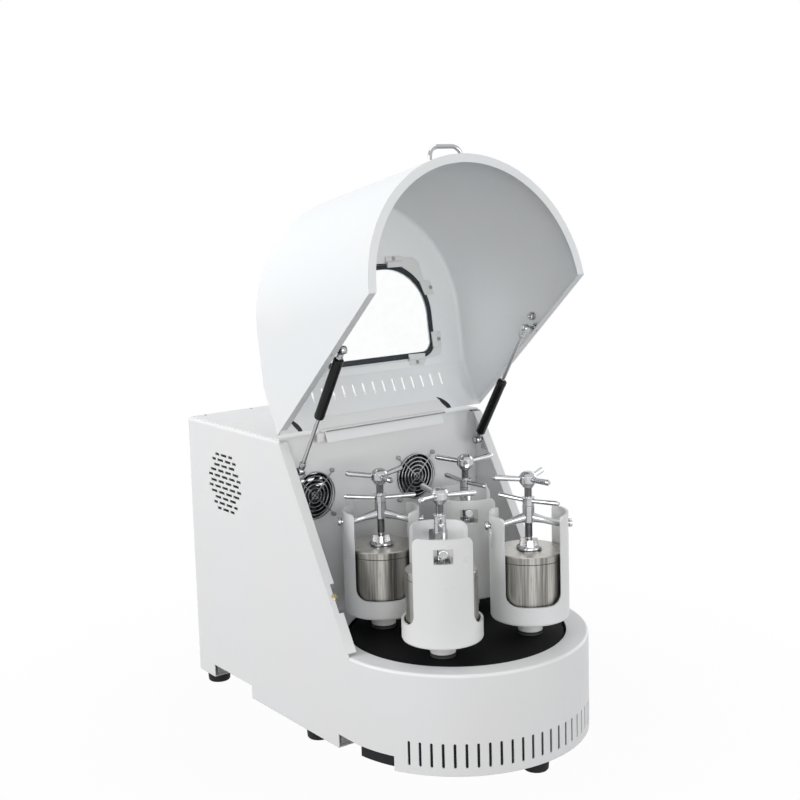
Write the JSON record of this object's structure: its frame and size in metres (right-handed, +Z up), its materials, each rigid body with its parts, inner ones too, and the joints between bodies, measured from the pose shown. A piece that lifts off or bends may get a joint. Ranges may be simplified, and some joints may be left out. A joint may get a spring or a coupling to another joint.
{
  "type": "planetary ball mill",
  "caption": "Bench-top planetary ball mill: sheet-steel cabinet with a round front, hinged hood with window on gas struts, turntable with clamped grinding jars.",
  "frame": {"origin": "on the floor under the middle of the overall box, hood open", "axes": "+Z up, the round front and the user side face -Y, the hinge lies along X"},
  "size_m": [0.47, 0.7749, 1.0494],
  "materials": {
    "white_coat": "satin powder coat",
    "holder_coat": "satin powder coat",
    "table_black": "semi-gloss",
    "jar_steel": "turned and brushed",
    "clamp_chrome": "polished casting",
    "handle_chrome": "polished",
    "spindle_steel": "turned",
    "pulley_alloy": "turned",
    "bearing_steel": "ground",
    "housing_iron": "painted",
    "belt_rubber": "matt",
    "foot_rubber": "matt",
    "gasket_rubber": "matt",
    "frame_steel": "satin",
    "motor_paint": "satin",
    "fan_plastic": "matt",
    "guard_wire": "plated wire",
    "strut_black": "gloss",
    "strut_rod": "polished",
    "hinge_steel": "satin",
    "window_clear": "clear",
    "panel_grey": "satin",
    "start_green": "gloss",
    "stop_red": "gloss",
    "inlet_plastic": "matt",
    "rocker_plastic": "gloss"
  },
  "bodies": {
    "cabinet": {"body_shell": "white_coat", "rear_cover": "white_coat", "deck_plate": "white_coat", "chamber_wall": "white_coat", "base_frame": "frame_steel", "rubber_feet": "foot_rubber", "bearing_housing": "housing_iron", "sun_pulley": "pulley_alloy", "drive_motor": "motor_paint", "drive_belt": "belt_rubber", "fan_frames": "fan_plastic", "fan_guards": "guard_wire", "hinge_base_leaf": "hinge_steel", "strut_brackets": "spindle_steel", "control_panel": "panel_grey", "mains_inlet": "inlet_plastic"},
    "lid": {"lid_shell": "white_coat", "lid_window": "window_clear", "window_gasket": "gasket_rubber", "lid_handle": "handle_chrome", "hinge_lid_leaf": "hinge_steel", "lid_studs": "spindle_steel"},
    "turntable": {"turntable": "table_black", "main_shaft": "spindle_steel", "planet_bearings": "bearing_steel", "planet_belts": "belt_rubber"},
    "motor_pulley": {"motor_pulley": "pulley_alloy"},
    "fan_rotor_left": {"fan_rotor_left": "fan_plastic"},
    "fan_rotor_right": {"fan_rotor_right": "fan_plastic"},
    "strut_rod_left": {"strut_rod_left": "strut_rod"},
    "strut_cylinder_left": {"strut_cylinder_left": "strut_black"},
    "strut_cylinder_right": {"strut_cylinder_right": "strut_black"},
    "strut_rod_right": {"strut_rod_right": "strut_rod"},
    "power_switch": {"power_switch": "rocker_plastic"},
    "start_button": {"start_button": "start_green"},
    "stop_button": {"stop_button": "stop_red"},
    "planet_1": {"jar_holder_1": "holder_coat", "planet_spindle_1": "spindle_steel", "grinding_jar_1": "jar_steel", "clamp_beam_1": "clamp_chrome"},
    "clamp_screw_1": {"clamp_screw_1": "clamp_chrome"},
    "lock_nut_1": {"lock_nut_1": "clamp_chrome"},
    "planet_2": {"jar_holder_2": "holder_coat", "planet_spindle_2": "spindle_steel", "grinding_jar_2": "jar_steel", "clamp_beam_2": "clamp_chrome"},
    "clamp_screw_2": {"clamp_screw_2": "clamp_chrome"},
    "lock_nut_2": {"lock_nut_2": "clamp_chrome"},
    "planet_3": {"jar_holder_3": "holder_coat", "planet_spindle_3": "spindle_steel", "grinding_jar_3": "jar_steel", "clamp_beam_3": "clamp_chrome"},
    "clamp_screw_3": {"clamp_screw_3": "clamp_chrome"},
    "lock_nut_3": {"lock_nut_3": "clamp_chrome"},
    "planet_4": {"jar_holder_4": "holder_coat", "planet_spindle_4": "spindle_steel", "grinding_jar_4": "jar_steel", "clamp_beam_4": "clamp_chrome"},
    "clamp_screw_4": {"clamp_screw_4": "clamp_chrome"},
    "lock_nut_4": {"lock_nut_4": "clamp_chrome"}
  },
  "joints": [
    {"name": "lid_hinge", "type": "hinge", "parent": "cabinet", "child": "lid", "pos_m": [0, 0.0515, 0.5424], "axis": [1, 0, 0], "range_deg": [0, 102], "stiffness_Nm_per_rad": 4, "springref_deg": -126.05},
    {"name": "turntable_spin", "type": "hinge", "parent": "cabinet", "child": "turntable", "pos_m": [0, -0.1525, 0.18], "axis": [0, 0, 1], "continuous": true},
    {"name": "motor_spin", "type": "hinge", "parent": "cabinet", "child": "motor_pulley", "pos_m": [0, 0.2225, 0.071], "axis": [0, 0, 1], "continuous": true},
    {"name": "planet_1_spin", "type": "hinge", "parent": "turntable", "child": "planet_1", "pos_m": [-0.09992, -0.24028, 0.2], "axis": [0, 0, 1], "continuous": true},
    {"name": "clamp_screw_1_turn", "type": "hinge", "parent": "planet_1", "child": "clamp_screw_1", "pos_m": [-0.09992, -0.24028, 0.44], "axis": [0, 0, 1], "continuous": true},
    {"name": "lock_nut_1_turn", "type": "hinge", "parent": "planet_1", "child": "lock_nut_1", "pos_m": [-0.09992, -0.24028, 0.43], "axis": [0, 0, 1], "continuous": true},
    {"name": "planet_2_spin", "type": "hinge", "parent": "turntable", "child": "planet_2", "pos_m": [0.08778, -0.25242, 0.2], "axis": [0, 0, 1], "continuous": true},
    {"name": "clamp_screw_2_turn", "type": "hinge", "parent": "planet_2", "child": "clamp_screw_2", "pos_m": [0.08778, -0.25242, 0.44], "axis": [0, 0, 1], "continuous": true},
    {"name": "lock_nut_2_turn", "type": "hinge", "parent": "planet_2", "child": "lock_nut_2", "pos_m": [0.08778, -0.25242, 0.43], "axis": [0, 0, 1], "continuous": true},
    {"name": "planet_3_spin", "type": "hinge", "parent": "turntable", "child": "planet_3", "pos_m": [0.09992, -0.06472, 0.2], "axis": [0, 0, 1], "continuous": true},
    {"name": "clamp_screw_3_turn", "type": "hinge", "parent": "planet_3", "child": "clamp_screw_3", "pos_m": [0.09992, -0.06472, 0.44], "axis": [0, 0, 1], "continuous": true},
    {"name": "lock_nut_3_turn", "type": "hinge", "parent": "planet_3", "child": "lock_nut_3", "pos_m": [0.09992, -0.06472, 0.43], "axis": [0, 0, 1], "continuous": true},
    {"name": "planet_4_spin", "type": "hinge", "parent": "turntable", "child": "planet_4", "pos_m": [-0.08778, -0.05258, 0.2], "axis": [0, 0, 1], "continuous": true},
    {"name": "clamp_screw_4_turn", "type": "hinge", "parent": "planet_4", "child": "clamp_screw_4", "pos_m": [-0.08778, -0.05258, 0.44], "axis": [0, 0, 1], "continuous": true},
    {"name": "lock_nut_4_turn", "type": "hinge", "parent": "planet_4", "child": "lock_nut_4", "pos_m": [-0.08778, -0.05258, 0.43], "axis": [0, 0, 1], "continuous": true},
    {"name": "fan_left_spin", "type": "hinge", "parent": "cabinet", "child": "fan_rotor_left", "pos_m": [-0.155, 0.0755, 0.423], "axis": [0, 1, 0], "continuous": true},
    {"name": "fan_right_spin", "type": "hinge", "parent": "cabinet", "child": "fan_rotor_right", "pos_m": [0.08, 0.0755, 0.423], "axis": [0, 1, 0], "continuous": true},
    {"name": "strut_left_pivot", "type": "hinge", "parent": "cabinet", "child": "strut_rod_left", "pos_m": [-0.205, 0.02447, 0.48199], "axis": [1, 0, 0], "range_deg": [0, 102.2]},
    {"name": "strut_left_slide", "type": "slide", "parent": "strut_rod_left", "child": "strut_cylinder_left", "axis": [0, -0.5332, 0.846], "range_m": [-0.0995, 0]},
    {"name": "strut_right_pivot", "type": "hinge", "parent": "cabinet", "child": "strut_cylinder_right", "pos_m": [0.205, 0.02447, 0.48199], "axis": [1, 0, 0], "range_deg": [0, 102.2]},
    {"name": "strut_right_slide", "type": "slide", "parent": "strut_cylinder_right", "child": "strut_rod_right", "axis": [0, -0.5332, 0.846], "range_m": [-0.0995, 0]},
    {"name": "power_switch_rock", "type": "hinge", "parent": "cabinet", "child": "power_switch", "pos_m": [-0.105, 0.3785, 0.095], "axis": [1, 0, 0], "range_deg": [0, 16]},
    {"name": "start_press", "type": "slide", "parent": "cabinet", "child": "start_button", "axis": [-0.9272, 0.3746, 0], "range_m": [0, 0.002], "stiffness_N_per_m": 300},
    {"name": "stop_press", "type": "slide", "parent": "cabinet", "child": "stop_button", "axis": [-0.9272, 0.3746, 0], "range_m": [0, 0.002], "stiffness_N_per_m": 300}
  ],
  "couplings": [
    {"joint": "motor_spin", "follows": "turntable_spin", "ratio": 3},
    {"joint": "planet_1_spin", "follows": "turntable_spin", "ratio": -3},
    {"joint": "planet_2_spin", "follows": "turntable_spin", "ratio": -3},
    {"joint": "planet_3_spin", "follows": "turntable_spin", "ratio": -3},
    {"joint": "planet_4_spin", "follows": "turntable_spin", "ratio": -3},
    {"joint": "strut_left_pivot", "follows": "lid_hinge", "ratio": 1},
    {"joint": "strut_left_slide", "follows": "lid_hinge", "m_per_rad": -0.0556},
    {"joint": "strut_right_pivot", "follows": "lid_hinge", "ratio": 1},
    {"joint": "strut_right_slide", "follows": "lid_hinge", "m_per_rad": -0.0556}
  ]
}
